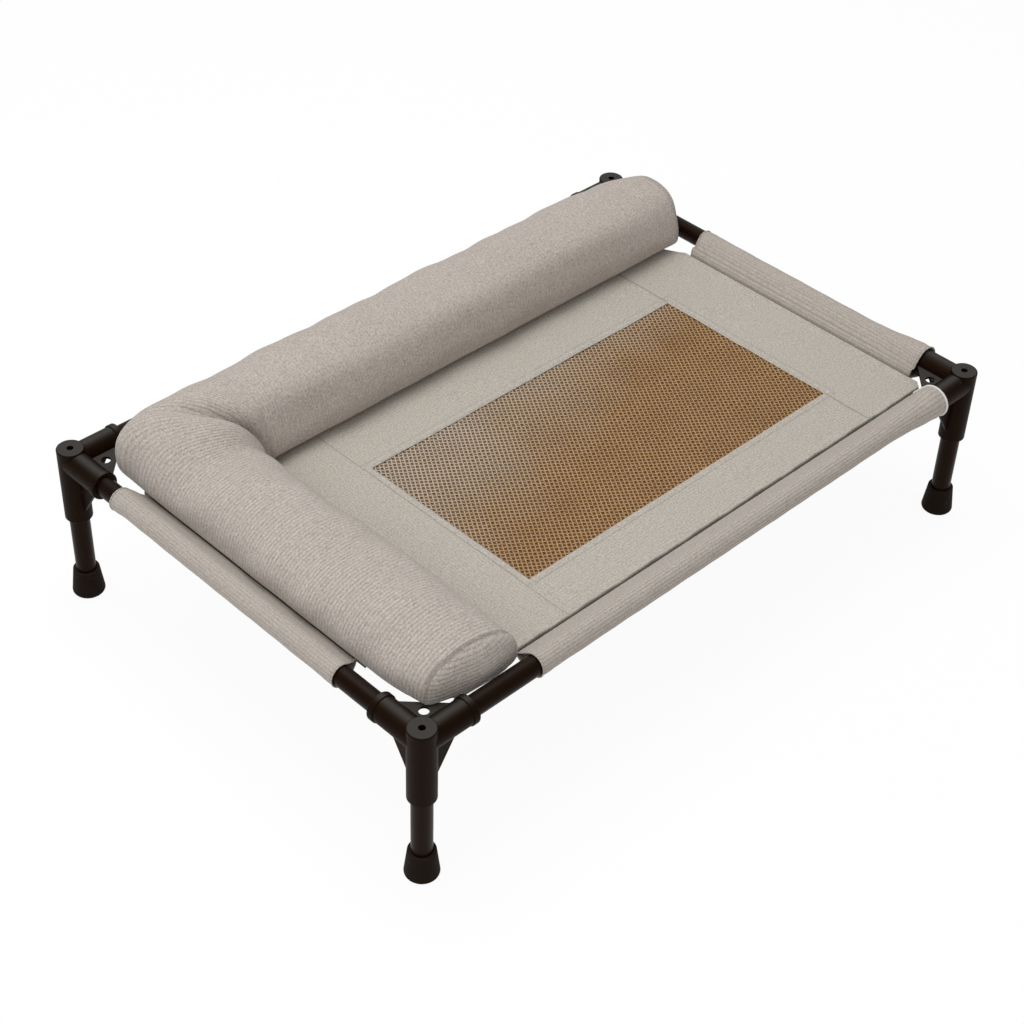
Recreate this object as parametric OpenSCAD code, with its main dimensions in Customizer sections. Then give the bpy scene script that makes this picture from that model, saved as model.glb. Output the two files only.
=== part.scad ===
// Raised dog cot: a tube frame on four legs, a fabric cover with a mesh window
// stretched over it, and one L-shaped bolster along the back and the left side.
// Millimetres, +Z up, +X along the long side, origin on the floor under the middle.

/* [Frame] */
// Distance between the leg axes along the long side
span_x = 820; // [700:5:1100]
// Distance between the leg axes along the short side
span_y = 550; // [480:5:800]
// Height of the connector tops above the floor
frame_h = 200; // [170:1:300]
// Outside diameter of the rail and leg tubes
tube_d = 22; // [18:0.5:25]
// Wall of the tubes
tube_wall = 1.2; // [0.8:0.1:2]
// Radial clearance of every push fit
push_gap = 0.2; // [0.1:0.05:0.4]

/* [Corner connectors] */
// Wall of the upright column
column_wall = 3.8; // [3:0.1:6]
// Length of the column below the connector top
column_len = 94; // [84:1:110]
// Chamfer at the lower end of the column
column_chamfer = 3; // [1:0.25:3.5]
// Rounding of the top edge of the column
boss_round = 1.5; // [0.5:0.5:3]
// Rise of the column's top above the rail sockets
boss_rise = 0.25; // [0.25:0.25:4]
// Wall of the rail sockets
socket_wall = 3.3; // [2.5:0.1:4.5]
// Reach of a rail socket from the column axis
socket_len = 60; // [54:1:66]
// Rise of the bead at the mouth of a socket
bead_rise = 1.25; // [0.5:0.25:2]
// Length of that bead
bead_len = 8; // [5:1:12]
// Rounding of the bead's edges
bead_round = 1.5; // [0.5:0.25:2]
// Distance from the column axis to the end of a rail tube
rail_stop = 18; // [16:0.5:24]
// Thickness of the flat web between the two sockets
web_t = 3; // [2:0.5:6]
// Rounding where the web runs out into a socket
web_round = 10; // [4:1:14]
// Diameter of the hole in the web
web_hole_d = 11; // [6:0.5:12]
// Width of the web between that hole and the web's free edge
web_land = 5.5; // [4:0.5:7]
// Thickness of the upright gussets under the sockets
gusset_t = 3.5; // [2:0.5:6]
// Distance from the tip of a gusset to the bead
gusset_gap = 7; // [2:0.5:14]
// Depth of a gusset below the rail axis, on the column
gusset_drop = 63; // [40:1:70]

/* [Leg fasteners] */
// Diameter of the hole in the connector top
boss_hole_d = 7.5; // [7.4:0.1:9]
// Depth of that hole
boss_hole_depth = 26; // [22:0.5:30]
// Thickness of the column between the screw head and the leg tube
seat_t = 6; // [4:0.5:10]
// Diameter of the screw head
screw_head_d = 7; // [6:0.1:7.2]
// Height of the screw head
screw_head_h = 4; // [3:0.1:5]
// Diameter of the screw shank
screw_d = 4; // [3:0.1:5]
// Length of the screw below its head
screw_len = 28; // [20:1:34]
// Length of the plug in the leg top
plug_len = 32; // [24:1:40]
// Radial clearance around the shank
screw_gap = 0.2; // [0.1:0.05:0.4]

/* [Feet] */
// Diameter of a foot at the floor
foot_d = 36; // [32:0.5:44]
// Wall of a foot at its top
foot_wall = 3.3; // [2:0.1:5]
// Height of a foot
foot_h = 33; // [24:1:45]
// Thickness of a foot below the leg tube
foot_floor = 8; // [4:0.5:12]
// Rounding of the bottom edge of a foot
foot_round = 4; // [1:0.5:6]

/* [Fabric cover] */
// Thickness of one layer of fabric
cloth_t = 1.2; // [0.8:0.1:1.6]
// Clearance between a sleeve and what it goes round
cloth_gap = 0.3; // [0.2:0.05:0.6]
// Distance from a rail axis in to the seam of its sleeve
seam_inset = 29; // [24:0.5:40]
// Depth of the seam below the rail axis
seam_drop = 8; // [4:0.5:10]
// Bare length between the front left leg axis and the front sleeve
front_bare_left = 144; // [80:1:200]
// Bare length between the front left leg axis and the left sleeve
left_bare_front = 113; // [80:1:160]
// Bare length between the back left leg axis and the left sleeve
left_bare_back = 87; // [70:1:160]
// Bare length between the back right leg axis and the right sleeve
right_bare_back = 160; // [80:1:200]
// Bare length between the back left leg axis and the back sleeve
back_bare_left = 110; // [80:1:200]
// Bare length between the back right leg axis and the back sleeve
back_bare_right = 100; // [80:1:200]
// Length over which a sleeve flares to go over the bead of a socket
flare_len = 34; // [20:1:60]
// Cut of the cover's corner beside the flared sleeve ends
corner_cut = 11; // [9:0.5:20]
// Width of the hem along the seams
hem_w = 10; // [6:0.5:16]
// Rise of the hem above the border strips
hem_rise = 0.8; // [0.4:0.1:1]

/* [Mesh window] */
// Clear length of the mesh window
mesh_x = 463; // [360:1:520]
// Clear width of the mesh window
mesh_y = 238; // [180:1:300]
// Distance of the window from the right seam
mesh_from_right = 96; // [70:1:140]
// Distance of the window from the front seam
mesh_from_front = 68; // [50:1:100]
// Width of mesh that is sewn under the border strips
mesh_lap = 9; // [5:0.5:14]
// Thickness of the mesh
mesh_t = 1.2; // [0.8:0.1:2]
// Gaps of the mesh along the window
mesh_cells_x = 23; // [12:1:24]
// Gaps of the mesh across the window
mesh_cells_y = 12; // [6:1:12]
// Width of the strands between the gaps
strand_w = 5; // [3:0.5:8]

/* [Bolster] */
// Width of the short arm, along the left side
short_arm_w = 125; // [100:1:130]
// Height of the short arm
short_arm_h = 58; // [45:1:80]
// Width of the long arm, along the back
long_arm_w = 118; // [90:1:122]
// Height of the long arm
long_arm_h = 84; // [60:1:110]
// Distance that the side of the short arm reaches out past the left seam
bolster_over_left = 9; // [2:0.5:9.5]
// Distance from the back seam to the side of the long arm
bolster_off_back = 1; // [1:0.5:12]
// Least distance from the front seam to the sewn front end of the bolster
bolster_off_front = 1; // [1:0.5:30]
// Least distance of the bolster from the webs of the connectors that it passes
web_clear = 1; // [0.5:0.25:6]
// Distance from the right seam to the sewn right end of the bolster
bolster_off_right = 6; // [4:0.5:40]
// Inside radius of the bend between the arms
bend_r = 10; // [6:1:20]
// Least rounding of the outer corner of the bend
corner_round = 32; // [24:1:60]
// Depth of the fold that runs out from the inside of the bend
fold_depth = 25; // [10:1:30]
// Length over which the ends are drawn in
draw_len = 60; // [40:1:100]
// Height that the sewn ends lose
draw_down = 5; // [1:0.5:12]
// Width that the sewn ends lose on their outer side
draw_side = 18; // [12:0.5:24]
// Swell of the end panels
cap_swell = 8; // [3:0.5:12]
// Thickness of the bolster's cover
cover_t = 2; // [1:0.25:3]
// Clearance between the bolster and what it rests on or holds
rest_gap = 0.3; // [0.2:0.05:0.5]

/* [Hidden] */

$fn = 64;
plastic_colour = [0.17, 0.155, 0.145];
steel_colour = [0.13, 0.12, 0.115];
rubber_colour = [0.11, 0.105, 0.10];
screw_colour = [0.45, 0.45, 0.46];
cloth_colour = [0.72, 0.69, 0.66];
mesh_colour = [0.55, 0.42, 0.29];
fill_colour = [0.93, 0.93, 0.91];

// Overlap of shapes that cut or join, past the faces where they meet
lap = 1;
// Steps of a rounded edge
arc_steps = 6;

tube_r = tube_d / 2;
tube_bore_r = tube_r - tube_wall;
push_r = tube_r + push_gap;
column_r = push_r + column_wall;
socket_r = push_r + socket_wall;
bead_r = socket_r + bead_rise;
rail_z = frame_h - boss_rise - bead_r;
column_bottom = frame_h - column_len;
screw_seat = frame_h - boss_hole_depth;
leg_top = screw_seat - seat_t;

// Place where the plain part of a socket ends and its bead begins, from the column axis
bead_at = socket_len - bead_len;
gusset_reach = bead_at - gusset_gap;
// Place on a rail axis that the free edge of the web points at, from the column axis
web_reach = bead_at + socket_r;
// Offset of the hole in the web from both rail axes
web_hole_off = (web_reach / sqrt(2) - web_land - web_hole_d / 2) / sqrt(2);

// Seam lines where the sleeves end and the flat cover begins
seam_x = span_x / 2 - seam_inset;
seam_y = span_y / 2 - seam_inset;
panel_z = rail_z - seam_drop;
border_t = 2 * cloth_t;
border_bottom = panel_z - cloth_t;
border_top = panel_z + cloth_t;

// Ends of the sleeves along their rails; a flared end covers the bead of its socket
front_from = -span_x / 2 + front_bare_left;
front_to = span_x / 2 - bead_at;
back_from = -span_x / 2 + back_bare_left;
back_to = span_x / 2 - back_bare_right;
left_from = -span_y / 2 + left_bare_front;
left_to = span_y / 2 - left_bare_back;
right_from = -span_y / 2 + bead_at;
right_to = span_y / 2 - right_bare_back;

// Sides of the mesh window
mesh_right = seam_x - mesh_from_right;
mesh_left = mesh_right - mesh_x;
mesh_front = -seam_y + mesh_from_front;
mesh_back = mesh_front + mesh_y;

// Bolster: inner faces of the arms, their ends, and the pivot that the bend fans about.
// The sewn front end lies behind the front seam and clear of the web in that corner.
short_inner = -seam_x - bolster_over_left + short_arm_w;
long_inner = seam_y - bolster_off_back - long_arm_w;
web_room = web_reach + sqrt(2) * web_clear;
left_side = seam_inset - bolster_over_left;
back_side = seam_inset + bolster_off_back;
front_end = max(seam_inset + bolster_off_front, web_room - left_side - draw_side);
bolster_front = -span_y / 2 + front_end;
bolster_right = seam_x - bolster_off_right;
bend_x = short_inner + bend_r;
bend_y = long_inner - bend_r;
bolster_z = border_top + rest_gap;

// Corners of the frame, as signs of X and Y
front_left = [-1, -1];
front_right = [1, -1];
back_left = [-1, 1];
back_right = [1, 1];
corners = [front_left, front_right, back_left, back_right];

// Puts children made for the front left corner, with both rails leading to +X and +Y,
// at another corner
module at_corner(sign) {
    translate([sign[0] * span_x / 2, sign[1] * span_y / 2, 0])
        mirror([sign[0] > 0 ? 1 : 0, 0, 0])
            mirror([0, sign[1] > 0 ? 1 : 0, 0])
                children();
}

// Turns a shape made along +Z so that it runs along +X
module along_x() {
    rotate([0, 90, 0]) children();
}

// Turns a shape made along +Z so that it runs along +Y
module along_y() {
    rotate([-90, 0, 0]) children();
}

// Half profile of a cylinder from one height to another, with rounded ends
module rounded_half_profile(r, from, to, round) {
    low = [for (i = [0 : arc_steps]) let (a = -90 + 90 * i / arc_steps)
        [r - round + round * cos(a), from + round + round * sin(a)]];
    high = [for (i = [0 : arc_steps]) let (a = 90 * i / arc_steps)
        [r - round + round * cos(a), to - round + round * sin(a)]];
    polygon(concat([[0, from]], low, high, [[0, to]]));
}

// One rail socket along +Z from the column axis, with the bead at its mouth
module socket_body() {
    cylinder(r = socket_r, h = bead_at + bead_len / 2);
    rotate_extrude() rounded_half_profile(bead_r, bead_at, socket_len, bead_round);
}

// Upright column: rounded at the top, chamfered at the lower end
module column_body() {
    rotate_extrude()
        polygon(concat(
            [[0, column_bottom], [column_r - column_chamfer, column_bottom],
             [column_r, column_bottom + column_chamfer]],
            [for (i = [0 : arc_steps]) let (a = 90 * i / arc_steps)
                [column_r - boss_round + boss_round * cos(a),
                 frame_h - boss_round + boss_round * sin(a)]],
            [[0, frame_h]]));
}

// Flat web in the corner between the sockets, rounded where it runs out into them
module web_outline() {
    centre = bead_at - web_round + web_round * sqrt(2);
    arc = [for (i = [0 : arc_steps]) let (a = 270 - 45 * i / arc_steps)
        [centre + web_round * cos(a), socket_r + web_round + web_round * sin(a)]];
    mirrored = [for (i = [arc_steps : -1 : 0]) [arc[i][1], arc[i][0]]];
    polygon(concat([[0, 0], [centre, 0]], arc, mirrored, [[0, centre]]));
}

// Upright gusset between the column and the socket along +X
module gusset_x() {
    translate([0, gusset_t / 2, rail_z])
        rotate([90, 0, 0])
            linear_extrude(gusset_t)
                polygon([[0, 0], [gusset_reach, 0], [gusset_reach, lap - socket_r],
                         [column_r - lap, -gusset_drop], [0, -gusset_drop]]);
}

// Three-way corner connector, made for the front left corner
module connector(sign) {
    color(plastic_colour) at_corner(sign) difference() {
        union() {
            column_body();
            translate([0, 0, rail_z]) along_x() socket_body();
            translate([0, 0, rail_z]) along_y() socket_body();
            translate([0, 0, rail_z - web_t / 2]) linear_extrude(web_t) web_outline();
            gusset_x();
            mirror([1, -1, 0]) gusset_x();
        }
        translate([rail_stop, 0, rail_z]) along_x() cylinder(r = push_r, h = socket_len);
        translate([0, rail_stop, rail_z]) along_y() cylinder(r = push_r, h = socket_len);
        translate([0, 0, column_bottom - lap])
            cylinder(r = push_r, h = leg_top - column_bottom + lap);
        translate([0, 0, screw_seat]) cylinder(d = boss_hole_d, h = boss_hole_depth + lap);
        translate([0, 0, leg_top - lap])
            cylinder(d = screw_d + 2 * screw_gap, h = seat_t + 2 * lap);
        translate([web_hole_off, web_hole_off, rail_z - web_t])
            cylinder(d = web_hole_d, h = 2 * web_t);
    }
}

module connector_front_left() {
    connector(front_left);
}

module connector_front_right() {
    connector(front_right);
}

module connector_back_left() {
    connector(back_left);
}

module connector_back_right() {
    connector(back_right);
}

// Hollow tube of the frame along +Z
module tube(length) {
    difference() {
        cylinder(r = tube_r, h = length);
        translate([0, 0, -lap]) cylinder(r = tube_bore_r, h = length + 2 * lap);
    }
}

// Rail of a given span between leg axes, along +Z, centred
module rail_tube(span) {
    end_gap = rail_stop + push_gap;
    color(steel_colour)
        translate([0, 0, end_gap - span / 2]) tube(span - 2 * end_gap);
}

module rail_front() {
    translate([0, -span_y / 2, rail_z]) along_x() rail_tube(span_x);
}

module rail_back() {
    translate([0, span_y / 2, rail_z]) along_x() rail_tube(span_x);
}

module rail_left() {
    translate([-span_x / 2, 0, rail_z]) along_y() rail_tube(span_y);
}

module rail_right() {
    translate([span_x / 2, 0, rail_z]) along_y() rail_tube(span_y);
}

module leg(sign) {
    color(steel_colour)
        at_corner(sign) translate([0, 0, foot_floor]) tube(leg_top - push_gap - foot_floor);
}

module leg_front_left() {
    leg(front_left);
}

module leg_front_right() {
    leg(front_right);
}

module leg_back_left() {
    leg(back_left);
}

module leg_back_right() {
    leg(back_right);
}

// Push-on foot: tapered outside, rounded at the floor, blind bore for the leg
module foot(sign) {
    r = foot_d / 2;
    color(rubber_colour)
        at_corner(sign)
            difference() {
                rotate_extrude()
                    polygon(concat(
                        [[0, 0]],
                        [for (i = [0 : arc_steps]) let (a = -90 + 90 * i / arc_steps)
                            [r - foot_round + foot_round * cos(a), foot_round + foot_round * sin(a)]],
                        [[push_r + foot_wall, foot_h], [0, foot_h]]));
                translate([0, 0, foot_floor]) cylinder(r = push_r, h = foot_h);
            }
}

module foot_front_left() {
    foot(front_left);
}

module foot_front_right() {
    foot(front_right);
}

module foot_back_left() {
    foot(back_left);
}

module foot_back_right() {
    foot(back_right);
}

// Screw that pulls a leg up into its connector
module screw() {
    translate([0, 0, screw_seat]) cylinder(d = screw_head_d, h = screw_head_h);
    translate([0, 0, screw_seat - screw_len]) cylinder(d = screw_d, h = screw_len + lap);
}

// Plug in the top of a leg tube, bored for the screw
module plug() {
    top = leg_top - push_gap;
    difference() {
        translate([0, 0, top - plug_len]) cylinder(r = tube_bore_r - push_gap, h = plug_len);
        translate([0, 0, top - plug_len - lap])
            cylinder(d = screw_d + 2 * screw_gap, h = plug_len + 2 * lap);
    }
}

module leg_screws() {
    color(screw_colour) for (sign = corners) at_corner(sign) screw();
}

module leg_plugs() {
    color(plastic_colour) for (sign = corners) at_corner(sign) plug();
}

// Point where the line from an outside point touches a circle about the origin
function touch(r, p, side) =
    let (a = atan2(p[1], p[0]) + side * acos(r / norm(p))) [r * cos(a), r * sin(a)];

// Depth to which the straight sides of a sleeve run into its round part
side_bite = 0.05;
// Gap that is left between the layers of a sleeve where they meet
layer_gap = 0.1;

// Body of a sleeve along +Z: a round about the rail that draws together at the seam
module sleeve_body(r, tip, half_t, length) {
    high = [tip[0], tip[1] + half_t];
    low = [tip[0], tip[1] - half_t];
    bite_r = r - side_bite;
    cylinder(r = r, h = length);
    linear_extrude(length)
        polygon([[0, 0], touch(bite_r, high, 1), high, low, touch(bite_r, low, -1)]);
}

// Fabric tunnel along +Z from 0, its seam towards +X, with a flare at the far end
module sleeve(length, flare_over) {
    inner_r = tube_r + cloth_gap;
    outer_r = inner_r + cloth_t;
    wide_inner = bead_r + cloth_gap;
    wide_outer = wide_inner + cloth_t;
    tip = [seam_inset, -seam_drop];
    layers_meet = 1 - 2 * cloth_t / seam_inset;
    flare_at = length - flare_over - flare_len;
    color(cloth_colour) difference() {
        union() {
            sleeve_body(outer_r, tip, cloth_t, length);
            if (flare_over > 0) {
                translate([0, 0, flare_at]) cylinder(r1 = outer_r, r2 = wide_outer, h = flare_len);
                translate([0, 0, length - flare_over]) cylinder(r = wide_outer, h = flare_over);
            }
        }
        translate([0, 0, -lap])
            sleeve_body(inner_r, tip * layers_meet, layer_gap / 2, length + 2 * lap);
        if (flare_over > 0) {
            translate([0, 0, flare_at]) cylinder(r1 = inner_r, r2 = wide_inner, h = flare_len);
            translate([0, 0, length - flare_over]) cylinder(r = wide_inner, h = flare_over + lap);
        }
    }
}

// Turns a sleeve to run along +X with its seam towards +Y, or along -Y with its seam towards +X
module turn_along_x() {
    rotate([90, 0, 90]) children();
}

module turn_along_y() {
    rotate([90, 0, 0]) children();
}

module sleeve_front() {
    translate([front_from, -span_y / 2, rail_z])
        turn_along_x() sleeve(front_to - front_from, bead_len);
}

module sleeve_back() {
    translate([back_from, span_y / 2, rail_z])
        mirror([0, 1, 0]) turn_along_x() sleeve(back_to - back_from, 0);
}

module sleeve_left() {
    translate([-span_x / 2, left_to, rail_z])
        turn_along_y() sleeve(left_to - left_from, 0);
}

module sleeve_right() {
    translate([span_x / 2, right_to, rail_z])
        mirror([1, 0, 0]) turn_along_y() sleeve(right_to - right_from, bead_len);
}

// Outline of the flat cover: the seam lines, with three corners cut back to the sleeve ends
// and a small cut at the fourth, where both sleeves reach the connector
module cover_outline() {
    polygon([
        [-seam_x, left_from], [front_from, -seam_y],
        [seam_x - corner_cut, -seam_y], [seam_x, -seam_y + corner_cut],
        [seam_x, right_to], [back_to, seam_y], [back_from, seam_y], [-seam_x, left_to]
    ]);
}

// Band along all four seam lines
module hem_outline() {
    difference() {
        square([2 * seam_x, 2 * seam_y], center = true);
        square([2 * (seam_x - hem_w), 2 * (seam_y - hem_w)], center = true);
    }
}

// Part of the cover between two corners of a rectangle, with its raised hem
module border(low, high) {
    color(cloth_colour)
        translate([0, 0, border_bottom]) {
            linear_extrude(border_t)
                intersection() {
                    cover_outline();
                    translate(low) square(high - low);
                }
            linear_extrude(border_t + hem_rise)
                intersection() {
                    cover_outline();
                    hem_outline();
                    translate(low) square(high - low);
                }
        }
}

module border_left() {
    border([-seam_x, -seam_y], [mesh_left, seam_y]);
}

module border_right() {
    border([mesh_right, -seam_y], [seam_x, seam_y]);
}

module border_front() {
    border([mesh_left, -seam_y], [mesh_right, mesh_front]);
}

module border_back() {
    border([mesh_left, mesh_back], [mesh_right, seam_y]);
}

// Open mesh under the border strips
module mesh_panel() {
    pitch_x = (mesh_x + strand_w) / mesh_cells_x;
    pitch_y = (mesh_y + strand_w) / mesh_cells_y;
    color(mesh_colour)
        translate([mesh_left, mesh_front, border_bottom - mesh_t])
            linear_extrude(mesh_t)
                difference() {
                    translate([-mesh_lap, -mesh_lap])
                        square([mesh_x + 2 * mesh_lap, mesh_y + 2 * mesh_lap]);
                    for (i = [0 : mesh_cells_x - 1], j = [0 : mesh_cells_y - 1])
                        translate([i * pitch_x, j * pitch_y])
                            square([pitch_x - strand_w, pitch_y - strand_w]);
                }
}

// Section of the bolster as shares of its width and height: domed above, flat below,
// widest a little above its base
section_points = 20;
widest = 0.22;
dome_power = 0.9;
base_power = 0.7;
function power(v, p) = sign(v) * pow(abs(v), p);
section = [for (i = [0 : section_points - 1]) let (a = 360 * i / section_points)
    sin(a) >= 0
        ? [(1 - power(cos(a), dome_power)) / 2, widest + (1 - widest) * power(sin(a), dome_power)]
        : [(1 - power(cos(a), base_power)) / 2, widest + widest * power(sin(a), base_power)]];

// Share of the drawing in that is left at a distance from a sewn end
function drawn_in(d) = d >= draw_len ? 0 : 1 - sin(90 * d / draw_len);

// Outer corner of the bend seen from its pivot, with a rounding that also clears the web
corner = [short_arm_w, long_arm_w] + [bend_r, bend_r];
corner_r = max(corner_round, (web_room - left_side - back_side) / (2 - sqrt(2)));
round_at = corner - [corner_r, corner_r];

// Width of the bend in a direction between the two arms: out to either side or to the rounding
function bend_width(a) =
    let (across = corner[0] * tan(a), along = corner[1] / tan(a),
         middle = round_at * [cos(a), sin(a)])
    (across <= round_at[1] ? corner[0] / cos(a)
        : along <= round_at[0] ? corner[1] / sin(a)
        : middle + sqrt(middle * middle - round_at * round_at + corner_r * corner_r)) - bend_r;

// Share of the long arm's height that the bend has reached in a direction
function swell(a) = a >= 45 ? 1 : (1 - cos(4 * a)) / 2;

// Share of the fold in a direction, narrow about the middle of the bend
fold_power = 10;
function fold(a) = pow(sin(2 * a), fold_power);

// Stations along the bolster: inner point, outward direction, width, height and fold.
// They crowd towards the sewn ends.
short_steps = 6;
bend_steps = 14;
long_steps = 8;
crowding = 1.5;
short_run = bend_y - bolster_front;
long_run = bolster_right - bend_x;
stations = concat(
    [for (i = [0 : short_steps - 1])
        let (d = short_run * pow(i / short_steps, crowding), drawn = drawn_in(d))
        [[short_inner, bolster_front + d], [-1, 0],
         short_arm_w - draw_side * drawn, short_arm_h - draw_down * drawn, 0]],
    [for (i = [0 : bend_steps])
        let (a = 90 * i / bend_steps, outward = [-cos(a), sin(a)])
        [[bend_x, bend_y] + bend_r * outward, outward, bend_width(a),
         short_arm_h + (long_arm_h - short_arm_h) * swell(a), fold_depth * fold(a)]],
    [for (i = [long_steps - 1 : -1 : 0])
        let (d = long_run * pow(i / long_steps, crowding), drawn = drawn_in(d))
        [[bolster_right - d, long_inner], [0, 1],
         long_arm_w - draw_side * drawn, long_arm_h - draw_down * drawn, 0]]);
last = len(stations) - 1;

// Section of one station, drawn in by a margin all round, as distances outward and up.
// A fold lowers its inner side.
function section_at(s, margin) = [for (p = section)
    [margin + (s[2] - 2 * margin) * p[0],
     margin + (s[3] - s[4] * pow(1 - p[0], 2) - 2 * margin) * p[1]]];

// The same section in its place
function ring_at(s, margin) = [for (p = section_at(s, margin))
    [s[0][0] + s[1][0] * p[0], s[0][1] + s[1][1] * p[0], bolster_z + p[1]]];

// Faces between two neighbouring rings of points that start at two indices
function strip(low, high) = [for (i = [0 : section_points - 1])
    let (j = (i + 1) % section_points)
    each [[low + i, low + j, high + i], [low + j, high + j, high + i]]];

// Skin through all stations
function skin(margin) = [for (s = stations) each ring_at(s, margin)];
function skin_faces(start) = [for (k = [0 : last - 1])
    each strip(start + k * section_points, start + (k + 1) * section_points)];
function turned(faces) = [for (f = faces) [f[0], f[2], f[1]]];

// Sewn tube of the bolster, open at both ends for the end panels
module bolster_cover() {
    inner = (last + 1) * section_points;
    end = last * section_points;
    color(cloth_colour)
        polyhedron(
            points = concat(skin(0), skin(cover_t)),
            faces = concat(skin_faces(0), turned(skin_faces(inner)),
                           turned(strip(0, inner)), strip(end, inner + end)));
}

// Stuffing, closed at both ends
module bolster_fill() {
    end = last * section_points;
    fan = [for (i = [1 : section_points - 2]) [0, i + 1, i]];
    color(fill_colour)
        polyhedron(
            points = skin(cover_t + rest_gap),
            faces = concat(skin_faces(0), fan, turned([for (f = fan) f + [end, end, end]])));
}

// Sewn end panel along +Z: a station's section that swells to a low dome about a point
// near its base
cap_steps = 3;
cap_middle = 0.3;
module bolster_cap(s) {
    outline = section_at(s, 0);
    middle = [s[2] / 2, s[3] * cap_middle];
    rings = [for (k = [0 : cap_steps - 1]) let (a = 90 * k / cap_steps)
        each [for (p = outline) let (q = middle + (p - middle) * cos(a))
            [q[0], q[1], cap_swell * sin(a)]]];
    tip = cap_steps * section_points;
    top = tip - section_points;
    color(cloth_colour)
        polyhedron(
            points = concat(rings, [[middle[0], middle[1], cap_swell]]),
            faces = concat(
                [for (i = [1 : section_points - 2]) [0, i, i + 1]],
                [for (k = [0 : cap_steps - 2])
                    each turned(strip(k * section_points, (k + 1) * section_points))],
                [for (i = [0 : section_points - 1]) [top + i, tip, top + (i + 1) % section_points]]));
}

module bolster_cap_front() {
    translate([short_inner, bolster_front, bolster_z])
        mirror([1, 0, 0]) rotate([90, 0, 0]) bolster_cap(stations[0]);
}

module bolster_cap_right() {
    translate([bolster_right, long_inner, bolster_z])
        rotate([90, 0, 90]) bolster_cap(stations[last]);
}

connector_front_left();
connector_front_right();
connector_back_left();
connector_back_right();
rail_front();
rail_back();
rail_left();
rail_right();
leg_front_left();
leg_front_right();
leg_back_left();
leg_back_right();
foot_front_left();
foot_front_right();
foot_back_left();
foot_back_right();
leg_screws();
leg_plugs();
sleeve_front();
sleeve_back();
sleeve_left();
sleeve_right();
border_front();
border_back();
border_left();
border_right();
mesh_panel();
bolster_cover();
bolster_cap_front();
bolster_cap_right();
bolster_fill();
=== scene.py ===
import math

import bmesh
import bpy
import numpy as np
from mathutils import Matrix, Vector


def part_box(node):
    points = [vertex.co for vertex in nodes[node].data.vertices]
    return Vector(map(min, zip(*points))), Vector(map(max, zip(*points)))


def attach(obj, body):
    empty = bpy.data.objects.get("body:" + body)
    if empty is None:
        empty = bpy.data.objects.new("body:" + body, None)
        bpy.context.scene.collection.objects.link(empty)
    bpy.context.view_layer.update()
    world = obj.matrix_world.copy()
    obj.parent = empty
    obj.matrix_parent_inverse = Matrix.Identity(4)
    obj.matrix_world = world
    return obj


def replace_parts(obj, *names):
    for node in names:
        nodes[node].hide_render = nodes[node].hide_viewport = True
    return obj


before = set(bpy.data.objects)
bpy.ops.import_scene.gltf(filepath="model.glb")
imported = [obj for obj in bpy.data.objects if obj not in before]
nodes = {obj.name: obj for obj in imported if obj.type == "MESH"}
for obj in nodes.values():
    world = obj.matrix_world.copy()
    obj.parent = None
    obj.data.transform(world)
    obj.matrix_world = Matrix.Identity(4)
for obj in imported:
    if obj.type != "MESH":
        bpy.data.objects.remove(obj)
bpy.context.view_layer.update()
scene = bpy.context.scene
print("frame loaded:", len(nodes), "nodes")


def boxOf(node):  # lowest and highest corner of a node as arrays
    return [np.array(corner, float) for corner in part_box(node)]


# Mesh helpers

def gridFaces(rows, columns, wrap=False):
    # quads between neighbouring points of a grid, its columns closed round where it wraps
    i = np.arange(rows - 1)[:, None] * columns
    j = np.arange(columns if wrap else columns - 1)[None, :]
    nextI, nextJ = i + columns, (j + 1) % columns
    return np.stack([i + j, nextI + j, nextI + nextJ, i + nextJ], -1).reshape(-1, 4)


def setAttributes(mesh, attributes):  # one float at each point for every key
    for key, values in attributes.items():
        layer = mesh.attributes.new(key, "FLOAT", "POINT")
        layer.data.foreach_set("value", np.asarray(values, np.float32).ravel())


def addPiece(name, points, faces, material, attributes=None):  # object of points and faces, shaded smooth
    mesh = bpy.data.meshes.new(name)
    mesh.from_pydata(np.asarray(points).reshape(-1, 3).tolist(), [], faces.tolist())
    setAttributes(mesh, attributes or {})
    mesh.polygons.foreach_set("use_smooth", np.ones(len(mesh.polygons), bool))
    mesh.materials.append(material)
    piece = bpy.data.objects.new(name, mesh)
    scene.collection.objects.link(piece)
    return piece


def closeMesh(mesh):  # open ends filled, all faces turned outwards
    work = bmesh.new()
    work.from_mesh(mesh)
    bmesh.ops.holes_fill(work, edges=[e for e in work.edges if e.is_boundary], sides=0)
    bmesh.ops.recalc_face_normals(work, faces=work.faces)
    work.to_mesh(mesh)
    work.free()


def thicken(piece, thickness):  # cloth thickness, put on behind the face side
    solid = piece.modifiers.new("thickness", "SOLIDIFY")
    solid.thickness = thickness
    solid.offset = -1.0


def softStep(x, low, high):  # 0 below low, 1 above high, smooth between
    t = np.clip((x - low) / (high - low), 0, 1)
    return t * t * (3 - 2 * t)


def stepNear(x, place, fade):  # soft step between two offsets from a place
    return softStep(x, place + fade[0], place + fade[1])


def hump(x, width):  # bell curve, 1 at zero
    return np.exp(-(x / width) ** 2)


def ripples(x, y, waves):  # sum of plain waves: (amplitude, cycles per metre in x and y, phase)
    total = np.zeros(np.broadcast(x, y).shape)
    for amplitude, fx, fy, phase in waves:
        total = total + amplitude * np.sin(2 * np.pi * (fx * x + fy * y) + phase)
    return total


# Node helpers

def startMaterial(name):  # a new material, its node tree and its shader
    material = bpy.data.materials.new(name)
    material.use_nodes = True
    return material, material.node_tree, material.node_tree.nodes["Principled BSDF"]


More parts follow.
